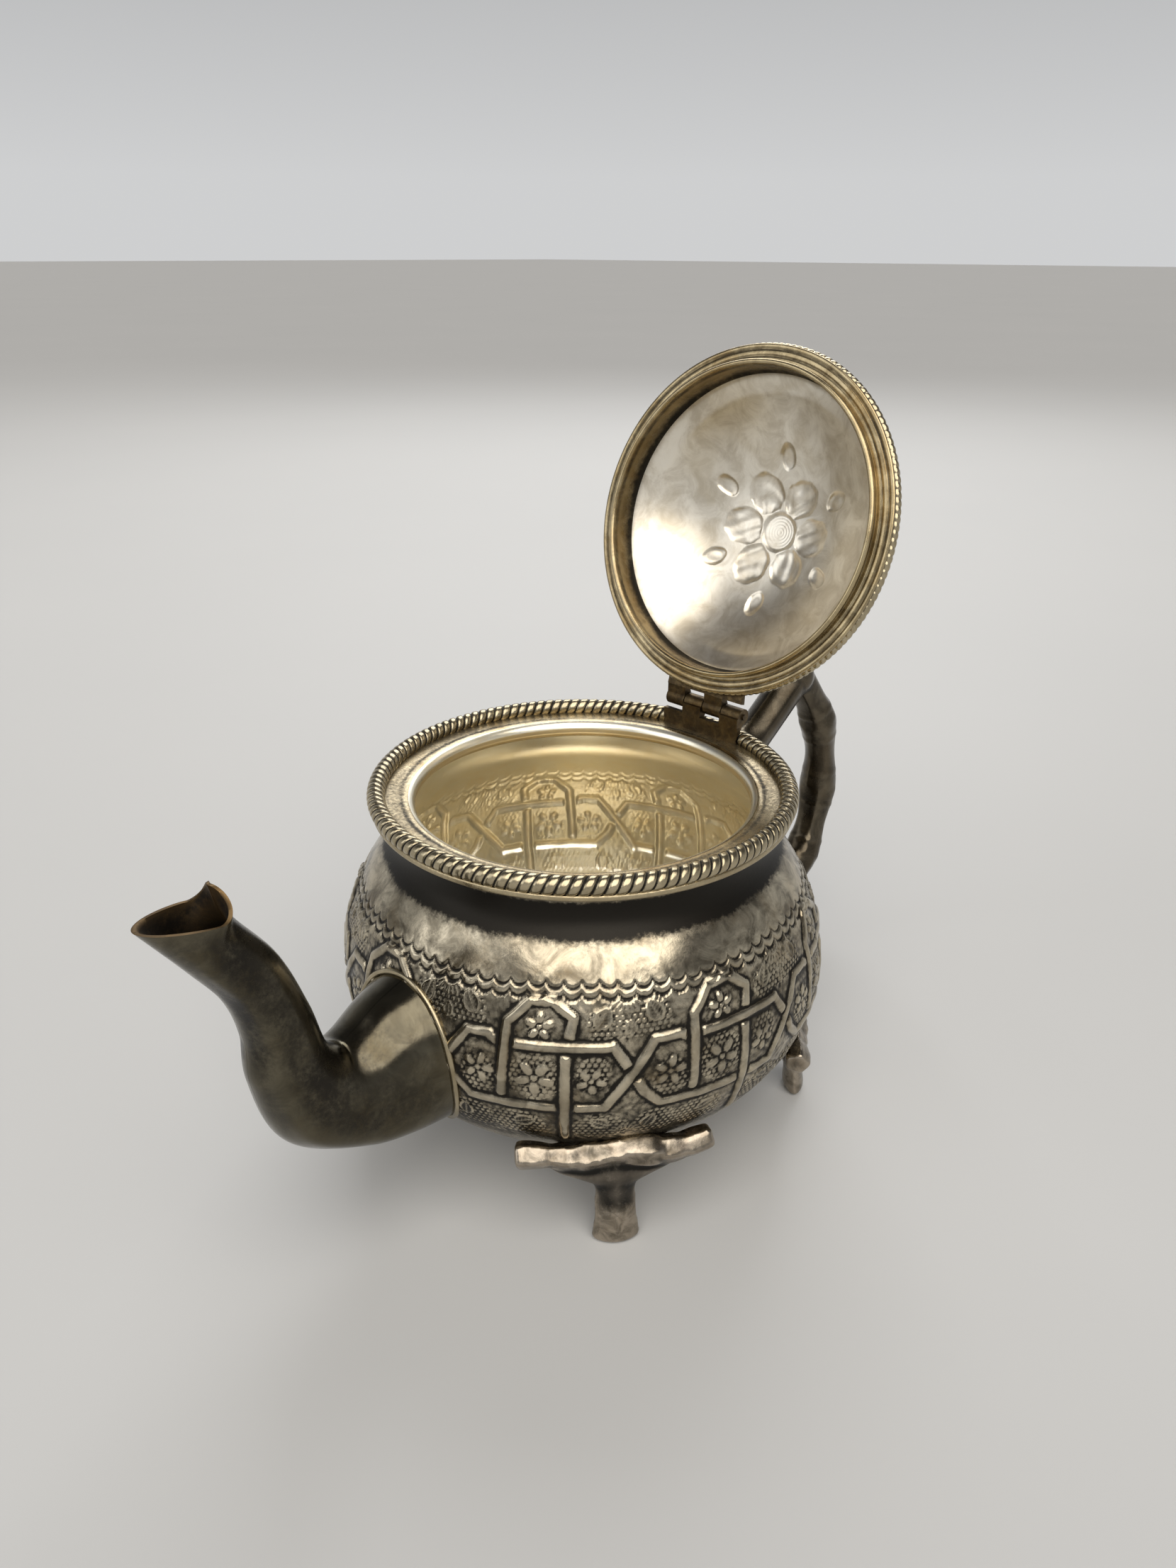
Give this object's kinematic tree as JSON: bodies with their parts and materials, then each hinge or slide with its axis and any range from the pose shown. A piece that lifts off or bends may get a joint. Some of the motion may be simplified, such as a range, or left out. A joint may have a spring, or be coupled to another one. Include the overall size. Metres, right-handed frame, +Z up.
{
  "type": "teapot",
  "caption": "Squat bulbous silver-plated teapot on twig feet, with an S-shaped spout, a knotty twig handle and a domed lid hinged at the rim.",
  "frame": {"origin": "on the table under the middle of the pot, on the pot's own axis", "axes": "+Z up, the spout towards -X, the handle and the lid's hinge towards +X"},
  "size_m": [0.233, 0.1235, 0.1876],
  "materials": {
    "pot_silver": "worn silver plate, chased, with dark tarnish in the hollows",
    "rim_silver": "worn silver plate with brown patina",
    "spout_silver": "worn silver plate, olive-brown patina",
    "strainer_metal": "tarnished plate",
    "handle_metal": "cast, satin grey-brown patina",
    "foot_metal": "cast, bright on the toes and dark in the recesses",
    "lid_silver": "bright polished silver plate with fine turning rings",
    "bezel_metal": "golden-brown tarnish",
    "hinge_metal": "dark brown patina with brassy wear"
  },
  "bodies": {
    "pot": {"body_bowl": "pot_silver", "strapwork": "pot_silver", "mouth_collar": "rim_silver", "rope_border": "rim_silver", "spout_left_half": "spout_silver", "spout_right_half": "spout_silver", "spout_root_bead": "spout_silver", "strainer_plate": "strainer_metal", "handle": "handle_metal", "foot_front_left": "foot_metal", "foot_front_right": "foot_metal", "foot_back_left": "foot_metal", "foot_back_right": "foot_metal", "hinge_body_leaf": "hinge_metal", "hinge_pin": "hinge_metal"},
    "lid": {"lid_dome": "lid_silver", "lid_bezel": "bezel_metal", "lid_rim_wire": "lid_silver", "finial_collar": "lid_silver", "lid_finial": "lid_silver", "hinge_lid_leaf": "hinge_metal"}
  },
  "joints": [
    {"name": "lid_hinge", "type": "hinge", "parent": "pot", "child": "lid", "pos_m": [0.049, 0, 0.0963], "axis": [0, 1, 0], "range_deg": [-106.5, 0]}
  ]
}
